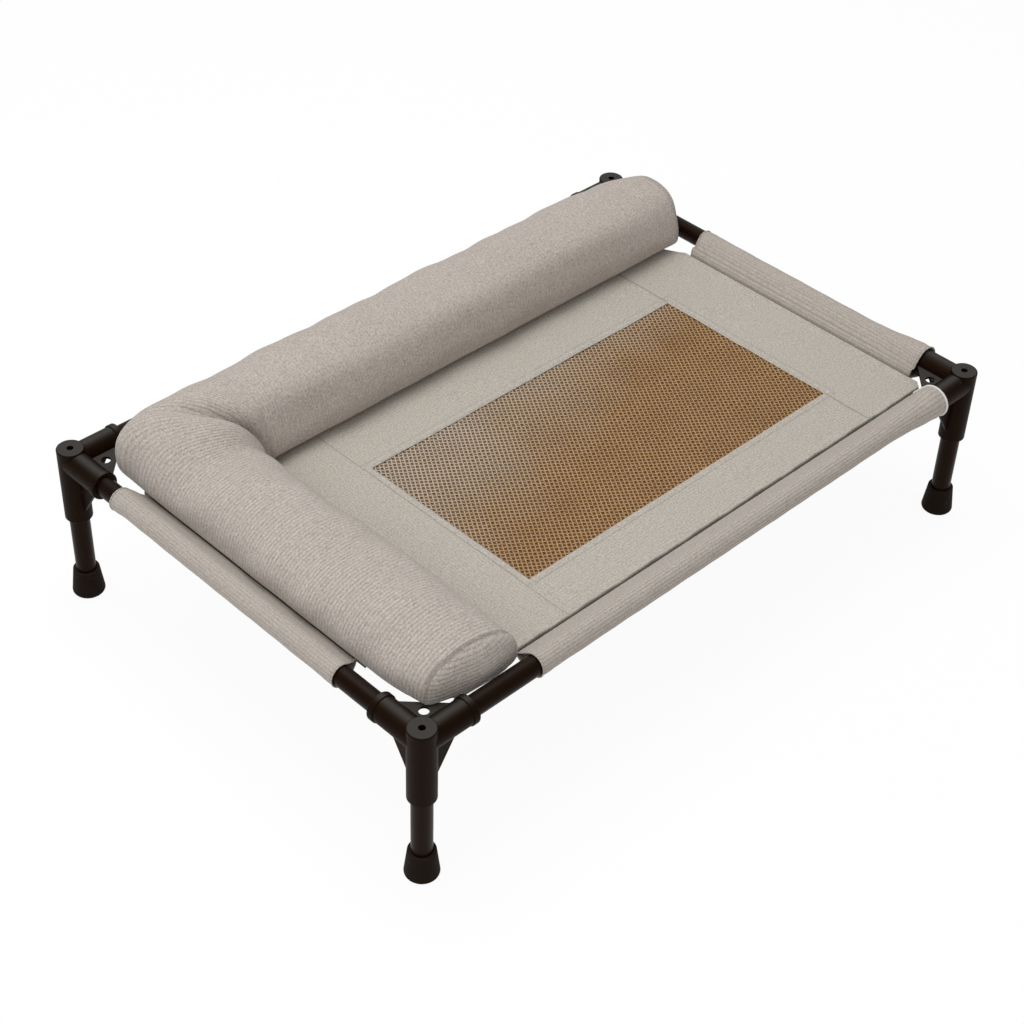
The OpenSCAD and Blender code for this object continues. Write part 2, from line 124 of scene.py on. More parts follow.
def newNode(tree, kind):  # one shader node by its short name
    return tree.nodes.new("ShaderNode" + kind)


def feed(tree, socket, value):  # a number, a colour or a node's output goes into a socket
    if isinstance(value, (int, float)):
        socket.default_value = value
    elif isinstance(value, tuple):
        socket.default_value = (*value, 1)
    elif value is not None:
        tree.links.new(value, socket)


def setShader(tree, shader, values):  # values of a shader by the names of its inputs
    for key, value in values.items():
        feed(tree, shader.inputs[key], value)


def calc(tree, operation, first, second=None, third=None):  # one Math node, numbers or sockets in
    node = newNode(tree, "Math")
    node.operation = operation
    for socket, value in zip(node.inputs, (first, second, third)):
        feed(tree, socket, value)
    return node.outputs[0]


def scaled(tree, value, factor):  # product of two
    return calc(tree, "MULTIPLY", value, factor)


def noise(tree, scale, detail=2.0, rough=0.5, stretch=(1, 1, 1)):  # noise over the piece's own coordinates
    place = newNode(tree, "TexCoord")
    turn = newNode(tree, "Mapping")
    turn.inputs["Scale"].default_value = stretch
    node = newNode(tree, "TexNoise")
    setShader(tree, node, {"Scale": scale, "Detail": detail, "Roughness": rough})
    tree.links.new(place.outputs["Object"], turn.inputs["Vector"])
    tree.links.new(turn.outputs["Vector"], node.inputs["Vector"])
    return node.outputs["Fac"]


def blendColour(tree, factor, first, second, mode="MIX"):  # the second colour over the first by a factor
    node = newNode(tree, "Mix")
    node.data_type = "RGBA"
    node.blend_type = mode
    for k, value in ((0, factor), (6, first), (7, second)):
        feed(tree, node.inputs[k], value)
    return node.outputs[2]


def addBump(tree, shader, height, depth, strength):  # slope of a height turned into the shader's normal
    node = newNode(tree, "Bump")
    setShader(tree, node, {"Strength": strength, "Distance": depth, "Height": height})
    tree.links.new(node.outputs["Normal"], shader.inputs["Normal"])


def splitAxes(tree, vector):  # x, y and z of a vector as outputs
    node = newNode(tree, "SeparateXYZ")
    tree.links.new(vector, node.inputs["Vector"])
    return node.outputs


def attributeOf(tree, name):  # value of a point attribute, 0 where the piece has none
    node = newNode(tree, "Attribute")
    node.attribute_name = name
    return node.outputs["Fac"]


# Finishes

def ribbedCloth(name, own):
    # ribs are the absolute sine of the rib attribute, weaker where the calm attribute is high, with painted
    # shade in the grooves;
    # mottling and fuzz come from noise, and the crease attribute paints shade into sewn folds
    look = dict(ribbedLook, **own)
    material, tree, shader = startMaterial(name)
    rib, calm, crease = (attributeOf(tree, key) for key in ("rib", "calm", "crease"))
    wobble = scaled(tree, noise(tree, look["wobbleScale"], detail=1.0), look["wobble"])
    jitter = scaled(tree, noise(tree, look["jitterScale"], rough=0.6), look["jitter"])
    place = calc(tree, "ADD", rib, calc(tree, "ADD", wobble, jitter))
    place = scaled(tree, place, math.pi / look["pitch"])
    wave = calc(tree, "POWER", calc(tree, "ABSOLUTE", calc(tree, "SINE", place)), look["ribPower"])
    shown = calc(tree, "SUBTRACT", 1.0, calm)
    middle = look["ribMiddle"]
    crown = calc(tree, "MULTIPLY_ADD", calc(tree, "SUBTRACT", wave, middle), shown, middle)
    fuzz = noise(tree, look["fuzzScale"], detail=3.0, rough=0.6)
    grain = noise(tree, look["grainScale"], detail=3.0, rough=0.7)
    mottle = noise(tree, look["mottleScale"], detail=3.0, rough=0.6)
    drift = noise(tree, look["driftScale"])
    # painted shade: the grooves between the ribs take the darker groove colour
    colour = blendColour(tree, crown, look["groove"], look["crown"])
    colour = blendColour(tree, scaled(tree, mottle, look["mottle"]), colour, look["nap"])
    colour = blendColour(tree, scaled(tree, drift, look["drift"]), colour, look["groove"])
    colour = blendColour(tree, scaled(tree, fuzz, look["fuzz"]), colour, look["nap"], "OVERLAY")
    speckle = calc(tree, "MULTIPLY_ADD", grain, look["grain"], 1.0 - 0.5 * look["grain"])
    colour = blendColour(tree, 1.0, colour, speckle, "MULTIPLY")
    # painted shade in the creases of sewn folds and along seams
    colour = blendColour(tree, scaled(tree, crease, look["crease"]), colour, look["shade"])
    height = calc(tree, "ADD", crown, scaled(tree, fuzz, look["fuzzHeight"]))
    coarse = scaled(tree, mottle, look["mottleHeight"])
    coarse = calc(tree, "MULTIPLY_ADD", grain, look["grainHeight"], coarse)
    addBump(tree, shader, calc(tree, "ADD", height, coarse), look["depth"], look["bump"])
    setShader(tree, shader, dict(look["shader"], **{"Base Color": colour}))
    return material


def coatedBlack(name, own):
    # moulded or coated: grain as bump, noise in the gloss, faint paler scuffs, dust and a painted sheen on
    # upper faces
    look = dict(coatedLook, **own)
    material, tree, shader = startMaterial(name)
    grain = noise(tree, look["grainScale"], rough=0.6)
    patch = noise(tree, look["patchScale"], detail=3.0, rough=0.6)
    scuff = noise(tree, look["scuffScale"], detail=4.0, rough=0.7, stretch=look["stretch"])
    mark = scaled(tree, calc(tree, "GREATER_THAN", scuff, look["scuffFrom"]), look["scuff"])
    colour = blendColour(tree, patch, look["dark"], look["light"])
    colour = blendColour(tree, mark, colour, look["wornAndSheen"])
    facing = splitAxes(tree, newNode(tree, "NewGeometry").outputs["Normal"])
    # upper faces paled: partly dust, partly a painted sheen from the light above
    topDustAndSheen = calc(tree, "POWER", calc(tree, "MAXIMUM", facing["Z"], 0.0), look["topPower"])
    colour = blendColour(tree, scaled(tree, topDustAndSheen, look["dustAndSheen"]), colour, look["wornAndSheen"])
    gloss = calc(tree, "MULTIPLY_ADD", patch, look["glossSpan"], look["gloss"])
    addBump(tree, shader, grain, look["grainDepth"], look["bump"])
    setShader(tree, shader, {"Base Color": colour, "Roughness": gloss, "Metallic": look["metal"],
                             "Specular IOR Level": look["specular"], "Specular Tint": look["tint"]})
    return material


def yarn(name, own):
    # coated yarn: colour drifts along the threads and between them, and pales towards the back left in a
    # painted sheen
    look = dict(yarnLook, **own)
    material, tree, shader = startMaterial(name)
    fine = noise(tree, look["fineScale"], rough=0.6)
    wide = noise(tree, look["wideScale"])
    colour = blendColour(tree, fine, look["dark"], look["light"])
    colour = blendColour(tree, scaled(tree, wide, look["wide"]), colour, look["dark"])
    place = splitAxes(tree, newNode(tree, "TexCoord").outputs["Object"])
    # painted sheen: paler towards the back left, uneven in slow patches
    patch = calc(tree, "MULTIPLY_ADD", place["X"], look["slant"], place["Y"])
    uneven = calc(tree, "ADD", noise(tree, look["patchScale"], detail=3.0), look["patchFrom"])
    patch = calc(tree, "MULTIPLY_ADD", patch, look["slope"], uneven)
    patch = calc(tree, "MINIMUM", calc(tree, "MAXIMUM", patch, 0.0), 1.0)
    colour = blendColour(tree, scaled(tree, patch, look["fade"]), colour, look["paleSheen"])
    addBump(tree, shader, fine, look["depth"], look["bump"])
    setShader(tree, shader, {"Base Color": colour, "Roughness": look["gloss"],
                             "Specular IOR Level": look["specular"]})
    return material


ribbedLook = dict(
    wobbleScale=45.0, jitterScale=330.0, ribPower=0.6, ribMiddle=0.68, mottleScale=150.0, fuzzScale=1300.0,
    fuzz=0.30, driftScale=7.0, drift=0.16, crease=0.85, fuzzHeight=0.4, grainHeight=0.9, mottleHeight=0.5,
    bump=0.7,
    shader={"Roughness": 0.92, "Sheen Weight": 0.16, "Sheen Roughness": 0.45, "Specular IOR Level": 0.15})
# the darker groove colour of each cloth is painted shade between the ribs
bolsterCloth = ribbedCloth("bolsterCloth", dict(
    pitch=0.0042, depth=0.0008, wobble=0.0009, jitter=0.0020, mottle=0.42, mottleScale=85.0, grain=1.5,
    grainScale=460.0, crown=(0.462, 0.416, 0.378), groove=(0.296, 0.256, 0.227), nap=(0.528, 0.484, 0.446),
    shade=(0.110, 0.088, 0.072)))
coverLook = dict(
    pitch=0.0038, depth=0.0005, wobble=0.0006, jitter=0.0011, mottle=0.44, grain=1.45,
    grainScale=480.0, crown=(0.464, 0.433, 0.387), groove=(0.312, 0.280, 0.240), nap=(0.520, 0.491, 0.444),
    shade=(0.050, 0.040, 0.032))
coverCloth = ribbedCloth("coverCloth", coverLook)
sleeveCloth = ribbedCloth("sleeveCloth", dict(
    coverLook, jitter=0.0008, mottle=0.34, grain=1.1, crown=(0.440, 0.400, 0.362),
    groove=(0.292, 0.255, 0.223), nap=(0.494, 0.452, 0.412)))
hemTape = ribbedCloth("hemTape", dict(
    pitch=0.0020, depth=0.0002, wobble=0.0002, jitter=0.0005, mottle=0.3, grain=0.3,
    grainScale=520.0, crown=(0.760, 0.740, 0.710), groove=(0.560, 0.530, 0.490), nap=(0.780, 0.760, 0.730),
    shade=(0.200, 0.170, 0.150)))
# the share paled on upper faces is dust and a painted sheen
coatedLook = dict(
    patchScale=22.0, scuffScale=90.0, scuff=0.3, stretch=(1, 1, 1), topPower=16.0, bump=0.6, grainDepth=0.0002,
    metal=0.0)
mouldedPlastic = coatedBlack("mouldedPlastic", dict(
    dark=(0.0066, 0.0024, 0.0010), light=(0.0100, 0.0042, 0.0021), wornAndSheen=(0.052, 0.050, 0.046), dustAndSheen=0.85,
    scuff=0.35, scuffFrom=0.66, stretch=(1, 1, 3), grainScale=1400.0, gloss=0.40, glossSpan=0.14,
    specular=0.060, tint=(1.0, 0.68, 0.46)))
coatedTube = coatedBlack("coatedTube", dict(
    dark=(0.0066, 0.0024, 0.0010), light=(0.0096, 0.0040, 0.0020), wornAndSheen=(0.036, 0.031, 0.027), dustAndSheen=0.35,
    scuff=0.25, scuffFrom=0.70, grainScale=700.0, grainDepth=0.00012, gloss=0.28, glossSpan=0.12,
    specular=0.080, tint=(1.0, 0.70, 0.48)))
footRubber = coatedBlack("footRubber", dict(
    dark=(0.0072, 0.0040, 0.0028), light=(0.0125, 0.0080, 0.0060), wornAndSheen=(0.045, 0.039, 0.035), dustAndSheen=0.4,
    scuffFrom=0.64, stretch=(1, 1, 4), grainScale=900.0, gloss=0.62, glossSpan=0.2, specular=0.09,
    tint=(1.0, 0.76, 0.60)))
screwSteel = coatedBlack("screwSteel", dict(
    dark=(0.30, 0.30, 0.31), light=(0.45, 0.45, 0.46), wornAndSheen=(0.55, 0.55, 0.56), dustAndSheen=0.0,
    scuffFrom=0.6, grainScale=500.0, grainDepth=0.00005, gloss=0.3, glossSpan=0.15, specular=0.5,
    metal=1.0, tint=(1.0, 1.0, 1.0)))
# fade is the share of the painted sheen; the pale colour of each yarn is its sheen tone
yarnLook = dict(
    fineScale=420.0, wideScale=16.0, wide=0.35, slant=-0.3, slope=6.0, patchScale=9.0, patchFrom=0.05,
    fade=0.8, depth=0.0002, bump=0.5, specular=0.35)
meshThread = yarn("meshThread", dict(
    dark=(0.240, 0.118, 0.036), light=(0.630, 0.408, 0.200), gloss=0.5, paleSheen=(0.520, 0.440, 0.345)))
# dark ground yarns: their colour is partly painted shade in the net's gaps
meshGroundAndGapShade = yarn("meshGroundAndGapShade", dict(
    dark=(0.075, 0.032, 0.010), light=(0.150, 0.068, 0.024), gloss=0.7, paleSheen=(0.140, 0.104, 0.078)))
stitchThread = yarn("stitchThread", dict(
    dark=(0.48, 0.44, 0.39), light=(0.66, 0.62, 0.56), gloss=0.7, fade=0.0, paleSheen=(0.5, 0.46, 0.41)))

finishes = {"connector": mouldedPlastic, "rail": coatedTube, "leg_screws": screwSteel,
            "leg_plugs": mouldedPlastic, "leg": coatedTube, "foot": footRubber}
for nodeName, nodeObject in nodes.items():
    match = next((finish for start, finish in finishes.items() if nodeName.startswith(start)), None)
    if match is not None:
        nodeObject.data.materials.clear()
        nodeObject.data.materials.append(match)
print("finishes made")


# Where the cover's edges lie, read from the solids

def sleeveEnds(side, axis):  # start and end of a sleeve along its rail
    low, high = boxOf("sleeve_" + side)
    return low[axis], high[axis]


leftLow, leftHigh = boxOf("border_left")
rightLow, rightHigh = boxOf("border_right")
backLow, backHigh = boxOf("border_back")
bolsterLow, bolsterHigh = boxOf("bolster_cover")
seamX, seamY = rightHigh[0], backHigh[1]
windowLow = np.array([leftHigh[0], boxOf("border_front")[1][1]])
windowHigh = np.array([rightLow[0], backLow[1]])
frontFrom = sleeveEnds("front", 0)[0]
backFrom, backTo = sleeveEnds("back", 0)
leftFrom, leftTo = sleeveEnds("left", 1)
rightTo = sleeveEnds("right", 1)[1]
armWidth = {"short": 0.125, "long": 0.118}  # the bolster's two arms
shortInner = bolsterLow[0] + armWidth["short"]
longInner = bolsterHigh[1] - armWidth["long"]

# Sheets of the cover: the hem runs along the front and right seams, the roll along the front one
cover = dict(
    step=0.0025, thickness=0.0012, topAbove=0.0024, cornerCut=0.011, openFade=0.012, hemWidth=0.010,
    hemFade=(-0.002, 0.001), hemRise=0.0007, rollWidth=0.0055, rollRise=0.0016, rollPower=0.8, tuck=0.0026,
    tuckWidth=0.0015, windowHem=0.009, windowFade=(-0.001, 0.0015), windowRise=0.0005, windowDip=0.0015,
    dipWidth=0.003, lineDip=0.0005, lineWidth=0.0009, leftShare=0.6, rimShare=0.4, jointFade=(0.0004, 0.002),
    creaseWidth=0.0016, lineShade=0.5, calm=0.55,
    fine=[0, 0.0005, 0.001, 0.0016, 0.0022, 0.003, 0.004, 0.005, 0.006, 0.0075, 0.009, 0.0105], markPoints=6,
    rollWaves=[(0.35, 12, 0, 0.6), (0.25, 31, 0, 2.1)], waveFade=0.03,
    waves=[(0.00022, 7.0, 3.0, 0.4), (0.00018, 3.0, 11.0, 1.7), (0.00012, 19.0, 5.0, 2.6),
           (0.00010, 6.0, 23.0, 0.9)])
coverTop = leftLow[2] + cover["topAbove"]
leftLine = windowLow[0] - cover["windowHem"]


def lowEdge(x):  # front edge of the cover, with the cut corners
    cut = cover["cornerCut"]
    return np.interp(x, [-seamX, frontFrom, seamX - cut, seamX], [leftFrom, -seamY, -seamY, cut - seamY])


def highEdge(x):  # back edge of the cover, with the cut corners
    return np.interp(x, [-seamX, backFrom, backTo, seamX], [leftTo, seamY, seamY, rightTo])


def level(value):  # a straight edge, the same y at every x
    return lambda x: np.full_like(x, value)


def seamDistance(x, y):  # distance in from the nearest seam
    return np.minimum(seamX - np.abs(x), seamY - np.abs(y))


def windowDistance(x, y):  # distance out from the mesh window, negative inside it
    outX = np.maximum(windowLow[0] - x, x - windowHigh[0])
    return np.maximum(outX, np.maximum(windowLow[1] - y, y - windowHigh[1]))


def sewnLines(x, y):
    # share of the sewn lines: across the cover at the left line, on from the window's right edge and round it
    width, outside = cover["lineWidth"], windowDistance(x, y)
    line = hump(x - leftLine, width) * cover["leftShare"]
    joint = hump(x - windowHigh[0], width) * softStep(outside, *cover["jointFade"])
    rim = hump(outside - cover["windowHem"], width) * cover["rimShare"]
    return np.maximum(np.maximum(line, joint), rim)


def coverHeight(x, y):
    # height of the sheet: slow waves where it lies open, a hem along the front and right seams with a roll
    # along the front one, the sheet tucked down at all seams, sewn lines pressed in, and the window's hem
    toFront, toRight = seamY + y, seamX - x
    edge, outside, fade = seamDistance(x, y), windowDistance(x, y), cover["openFade"]
    bare = softStep(x, shortInner, shortInner + fade) * (1 - softStep(y, longInner - fade, longInner))
    hem = 1 - stepNear(np.minimum(toFront, toRight), cover["hemWidth"], cover["hemFade"])
    roll = np.sin(np.pi * np.clip(toFront / cover["rollWidth"], 0, 1)) ** cover["rollPower"]
    roll = roll * (toFront < toRight) * (1 + ripples(x, 0, cover["rollWaves"]))
    tuck = 1 - softStep(edge, 0, cover["tuckWidth"])
    rim = 1 - stepNear(outside, cover["windowHem"], cover["windowFade"])
    dip = 1 - softStep(outside, 0, cover["dipWidth"])
    height = (cover["hemRise"] * hem + cover["rollRise"] * roll) * bare - cover["tuck"] * tuck
    height = height + cover["windowRise"] * rim - cover["windowDip"] * dip
    height = height - cover["lineDip"] * sewnLines(x, y)
    return coverTop + height + ripples(x, y, cover["waves"]) * bare * softStep(edge, 0.0, cover["waveFade"])


def coverCrease(x, y):  # shading of the folds: deep along the seams, faint along the sewn lines
    return np.maximum(hump(seamDistance(x, y), cover["creaseWidth"]), cover["lineShade"] * sewnLines(x, y))


def spaced(low, high, marks):
    # places between two ends: an even step, crowded at the ends and at each mark between them
    fine = np.array(cover["fine"])
    near = np.concatenate([-fine[:cover["markPoints"]], fine[1:cover["markPoints"]]])
    even = np.linspace(low, high, int((high - low) / cover["step"]) + 2)
    places = np.concatenate([even, low + fine, high - fine] + [mark + near for mark in marks])
    places = np.unique(np.round(places[(places >= low) & (places <= high)], 5))
    return np.concatenate([[low], places[1:-1], [high]])


def borderSheet(name, xFrom, xTo, yLow, yHigh, alongX):
    # grid over one strip: x across it, and rows from the lower to the higher edge, crowded at both
    x = spaced(xFrom, xTo, [v for v in (frontFrom, backFrom, backTo, leftLine) if xFrom < v < xTo])
    low, high = yLow(x), yHigh(x)
    span = high - low
    reach = float(span.max())
    rows = spaced(0.0, reach, [])
    band = cover["fine"][-1]
    toEdge = np.minimum(rows, reach - rows)
    squeeze = (span[:, None] / 2 - band) / (reach / 2 - band)
    fromEdge = np.where(toEdge <= band, toEdge, band + (toEdge - band) * squeeze)
    y = np.where(rows <= reach / 2, low[:, None] + fromEdge, high[:, None] - fromEdge)
    xs = np.broadcast_to(x[:, None], y.shape)
    points = np.stack([xs, y, coverHeight(xs, y)], -1)
    shares = {"rib": y if alongX else xs, "calm": np.full(y.shape, cover["calm"]),
              "crease": coverCrease(xs, y)}
    piece = addPiece(name, points, gridFaces(*y.shape), coverCloth, shares)
    thicken(piece, cover["thickness"])
    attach(piece, "frame")
    return piece


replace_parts(borderSheet("leftPanel", -seamX, windowLow[0], lowEdge, highEdge, False), "border_left")
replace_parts(borderSheet("rightPanel", windowHigh[0], seamX, lowEdge, highEdge, False), "border_right")
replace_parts(borderSheet("frontPanel", windowLow[0], windowHigh[0], lowEdge, level(windowLow[1]), True),
            "border_front")
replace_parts(borderSheet("backPanel", windowLow[0], windowHigh[0], level(windowHigh[1]), highEdge, True),
            "border_back")
print("cover panels made")


# Stitches on the panels, one low bead of thread each
stitch = dict(
    pitch=0.0036, length=0.0027, width=0.0006, rise=0.0004, sink=0.0004, hemIn=0.0025, rimIn=0.002,
    lineGap=0.0016, windowGap=0.0025, fromShortArm=0.015, fromLongArm=0.004, fromCorner=0.014,
    fromFront=(0.008, 0.010), rimStart=0.004, rimEnd=0.001)


def rowInX(y, start, end):  # a straight row from left to right
    return np.array([start, y]), np.array([end, y])


def rowInY(x, start, end):  # a straight row from front to back
    return np.array([x, start]), np.array([x, end])


def stitchRows(name, rows):
    # along each straight row: a stretched six-point bead at every pitch, lying on the sheet
    beads = []
    for start, end in rows:
        run = np.hypot(*(end - start))
        t = (np.arange(int(run / stitch["pitch"])) + 0.5) * stitch["pitch"]
        d = (end - start) / run
        centre = start + t[:, None] * d
        side = np.array([-d[1], d[0]]) * stitch["width"] / 2
        tip = d * stitch["length"] / 2
        flat = np.stack([centre - tip, centre + side, centre + tip, centre - side, centre, centre], 1)
        base = coverHeight(centre[:, 0], centre[:, 1])[:, None]
        z = base + np.array([0, 0, 0, 0, stitch["rise"], -stitch["sink"]])
        beads.append(np.concatenate([flat, z[..., None]], -1))
    points = np.concatenate(beads)
    shape = np.array([[0, 4, 1], [1, 4, 2], [2, 4, 3], [3, 4, 0], [0, 1, 5], [1, 2, 5], [2, 3, 5], [3, 0, 5]])
    faces = (np.arange(len(points)) * 6)[:, None, None] + shape[None, :, ::-1]
    piece = addPiece(name, points, faces.reshape(-1, 3), stitchThread)
    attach(piece, "frame")


hemRow = cover["hemWidth"] - stitch["hemIn"]
rimRow = cover["windowHem"] - stitch["rimIn"]
armEnd = longInner - stitch["fromLongArm"]
rimFrom, rimTo = windowLow - rimRow, windowHigh + rimRow
rowEnd = windowHigh[0] - stitch["rimEnd"]
stitchRows("coverStitches", [
    rowInX(hemRow - seamY, shortInner + stitch["fromShortArm"], seamX - stitch["fromCorner"]),
    rowInY(seamX - hemRow, stitch["fromCorner"] - seamY, rightTo),
    rowInY(leftLine - stitch["lineGap"], stitch["fromFront"][0] - seamY, armEnd),
    rowInY(windowHigh[0] + stitch["lineGap"], stitch["fromFront"][1] - seamY, armEnd),
    rowInX(rimFrom[1], rimFrom[0] + stitch["rimStart"], rowEnd),
    rowInY(windowLow[0] - stitch["windowGap"], windowLow[1], windowHigh[1]),
    rowInY(rimTo[0], rimFrom[1], rimTo[1]),
    rowInX(rimTo[1], windowLow[0], rowEnd)])
print("stitches made")


# Sleeves round the rails
sleeve = dict(
    round=0.0124, wide=0.0171, inset=0.029, drop=0.008, seamHalf=0.0011, flare=0.080, over=0.008, far=9.0,
    hem=0.012, hemFade=(-0.001, 0.002), hemRise=0.0006, step=0.004, arcPoints=56, linePoints=17,
    linePower=1.3, thickness=0.0010, tuck=0.0020, tuckShare=0.07, welt=0.0028, weltAt=0.20, weltWidth=0.13,
    dipAt=0.52, dipWidth=0.10, dipShare=0.4, collar=0.0009, collarAt=0.014, collarWidth=0.005, pucker=0.00035,
    pull=0.35, pullFlare=0.6, pullEnd=0.6, pullReach=0.03, folds=[(1.0, 0.041, 1.3), (0.7, 0.097, -2.1)],
    leastRadius=0.01, slantLength=0.060, slantFrom=0.008, seamShade=(0.95, 0.3), seamWidth=0.0016,
    lineShade=0.45, lineAt=0.0125, lineWidth=0.0008, calm=0.05, calmWelt=0.25, rollSides=8, rollFade=0.05,
    rollLeast=0.00005, rollRib=0.08)


def endRoll(name, ring, towards, size, material):
    # thin roll of cloth along an end ring: a small circle carried round it, drawn to nothing at the seam
    tangent = np.gradient(ring, axis=0)
    tangent /= np.linalg.norm(tangent, axis=1, keepdims=True)
    outward = np.cross(tangent, towards)
    turn = np.linspace(0, 2 * np.pi, sleeve["rollSides"], endpoint=False)
    share = np.linspace(0, 1, len(ring))
    radius = size * softStep(np.minimum(share, 1 - share), 0.0, sleeve["rollFade"])[:, None, None]
    circle = np.cos(turn)[None, :, None] * outward[:, None, :] + np.sin(turn)[None, :, None] * towards
    points = ring[:, None, :] + (radius + sleeve["rollLeast"]) * circle
    around = np.broadcast_to(share[:, None] * sleeve["rollRib"], points.shape[:2])
    faces = gridFaces(len(ring), sleeve["rollSides"], wrap=True)
    roll = addPiece(name, points, faces, material, {"rib": around})
    closeMesh(roll.data)
    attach(roll, "frame")
    return roll


def sleeveSection(toFlare, toEnd, flared, welt):
    # a drop-shaped profile at each place along the rail, round about the rail and drawn together at the seam;
    # the upper layer is tucked down at the seam, with a welt beside it where the cover is folded over
    hem = 1 - stepNear(toEnd, sleeve["hem"], sleeve["hemFade"])
    radius = sleeve["round"] + (sleeve["wide"] - sleeve["round"]) * flared + sleeve["hemRise"] * hem
    radius = radius + sleeve["collar"] * hump(toFlare - sleeve["collarAt"], sleeve["collarWidth"])
    w = np.linspace(0, 1, sleeve["linePoints"]) ** sleeve["linePower"]
    tipHigh = np.array([sleeve["inset"], -sleeve["drop"] + sleeve["seamHalf"]])
    tipLow = np.array([sleeve["inset"], -sleeve["drop"] - sleeve["seamHalf"]])

    def tangent(tip, turnSide):  # angle at which the straight layer from the seam meets the circle
        return np.arctan2(tip[1], tip[0]) + turnSide * np.arccos(np.minimum(radius / np.hypot(*tip), 1))

    first, last = tangent(tipHigh, 1), tangent(tipLow, -1) + 2 * np.pi
    angle = first[:, None] + (last - first)[:, None] * np.linspace(0, 1, sleeve["arcPoints"])[None, :]
    arc = radius[:, None, None] * np.stack([np.cos(angle), np.sin(angle)], -1)
    upper = tipHigh + (arc[:, :1] - tipHigh) * w[None, :, None]
    lower = arc[:, -1:] + (tipLow - arc[:, -1:]) * (1 - w[::-1])[None, :, None]
    bulge = hump(w - sleeve["weltAt"], sleeve["weltWidth"])
    bulge = bulge - sleeve["dipShare"] * hump(w - sleeve["dipAt"], sleeve["dipWidth"])
    bulge = bulge * sleeve["welt"] * welt
    upper[..., 1] += bulge - sleeve["tuck"] * (1 - softStep(w, 0, sleeve["tuckShare"]))
    return np.concatenate([upper[:, :-1], arc, lower[:, 1:]], 1)


def puckered(section, s, toEnd, flared):
    # the profile swollen and drawn in by slanting waves, stronger at the flare and the ends, none at the seam
    turn = np.linspace(0, 1, section.shape[1])[None, :]
    pull = sleeve["pull"] + sleeve["pullFlare"] * flared
    pull = pull + sleeve["pullEnd"] * np.exp(-toEnd / sleeve["pullReach"])
    fold = sum(share * np.sin(2 * np.pi * (s[:, None] / wave + turns * turn))
               for share, wave, turns in sleeve["folds"])
    swing = sleeve["pucker"] * (pull[:, None] * np.sin(np.pi * turn)) * fold
    swing = swing / np.maximum(np.linalg.norm(section, axis=-1), sleeve["leastRadius"])
    return section * (1 + swing)[..., None]


def sleeveSheet(side, axis, inward, flareEnd, welt, lastRoll, slants):
    # the profile carried along the rail, with its ends cut back by a slant towards the seam
    start, end = sleeveEnds(side, axis)
    length = end - start
    s = np.linspace(0, length, int(length / sleeve["step"]) + 2)
    toFlare = {"high": length - s, "low": s, None: np.full_like(s, sleeve["far"])}[flareEnd]
    toEnd = np.minimum(s, length - s)
    flared = 1 - softStep(toFlare, sleeve["over"], sleeve["over"] + sleeve["flare"])
    section = sleeveSection(toFlare, toEnd, flared, welt)
    around = np.concatenate([[0], np.cumsum(np.hypot(*np.diff(section[0], axis=0).T))])
    section = puckered(section, s, toEnd, flared)
    tail = np.clip((section[..., 0] - sleeve["slantFrom"]) / (sleeve["inset"] - sleeve["slantFrom"]), 0, 1)
    early, late = (np.clip(1 - d / sleeve["slantLength"], 0, 1)[:, None] for d in (s, length - s))
    along = (start + s)[:, None] + tail * (slants[0] * early - slants[1] * late)
    rail = sum(boxOf("rail_" + side)) / 2
    across = rail[1 - axis] + inward * section[..., 0]
    up = rail[2] + section[..., 1]
    points = np.stack([across, along, up] if axis else [along, across, up], -1)
    faces = gridFaces(*section.shape[:2])
    if (axis == 0) == (inward > 0):
        faces = faces[:, ::-1]
    fromSeam = np.minimum(around, around[-1] - around)
    crease = np.where(around < around[-1] / 2, *sleeve["seamShade"]) * hump(fromSeam, sleeve["seamWidth"])
    line = sleeve["lineShade"] * welt * hump(around - sleeve["lineAt"], sleeve["lineWidth"])
    shares = {"rib": around, "crease": np.maximum(crease, line),
              "calm": sleeve["calm"] + sleeve["calmWelt"] * min(welt, 1.0)}
    piece = addPiece(side + "Sleeve", points, faces, sleeveCloth,
                     {key: np.broadcast_to(values, section.shape[:2]) for key, values in shares.items()})
    thicken(piece, sleeve["thickness"])
    rims = [endRoll(side + "Roll" + tag, points[k], np.eye(3)[axis], size, material)
            for tag, k, (size, material) in (("Low", 0, plainRoll), ("High", -1, lastRoll))]
    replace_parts(piece, "sleeve_" + side)
    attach(piece, "frame")


plainRoll, paleRoll = (0.0008, sleeveCloth), (0.0013, hemTape)
sleeveSheet("front", 0, 1, "high", welt=0.0, lastRoll=paleRoll, slants=(0.004, 0.0))
sleeveSheet("back", 0, -1, None, welt=0.4, lastRoll=plainRoll, slants=(0.012, 0.012))
sleeveSheet("left", 1, 1, None, welt=0.5, lastRoll=plainRoll, slants=(0.012, 0.016))
sleeveSheet("right", 1, -1, "low", welt=1.5, lastRoll=plainRoll, slants=(0.0, 0.004))
print("sleeves made")


# Woven mesh: wavy threads both ways over flat dark ground yarns, whose colour is partly painted shade in the
# gaps
weave = dict(
    lap=0.007, first=(0.53, 0.85), second=(0.80, -0.60), firstPitch=0.00465, secondPitch=0.0052, width=0.0021,
    height=0.0009, rise=0.00035, perCrossing=3, sink=0.0002, groundWidth=0.0036, groundHeight=0.0003,
    groundDrop=0.0006, groundGap=0.0004, shortest=0.002)
netLow, netHigh = windowLow - weave["lap"], windowHigh + weave["lap"]
netMiddle, netHalf = (netLow + netHigh) / 2, (netHigh - netLow) / 2
netLevel = boxOf("mesh_panel")[1][2] - weave["sink"]


def directions(direction):  # unit vectors along a family of yarns and across it
    d = np.array(direction) / np.hypot(*direction)
    return d, np.array([-d[1], d[0]])


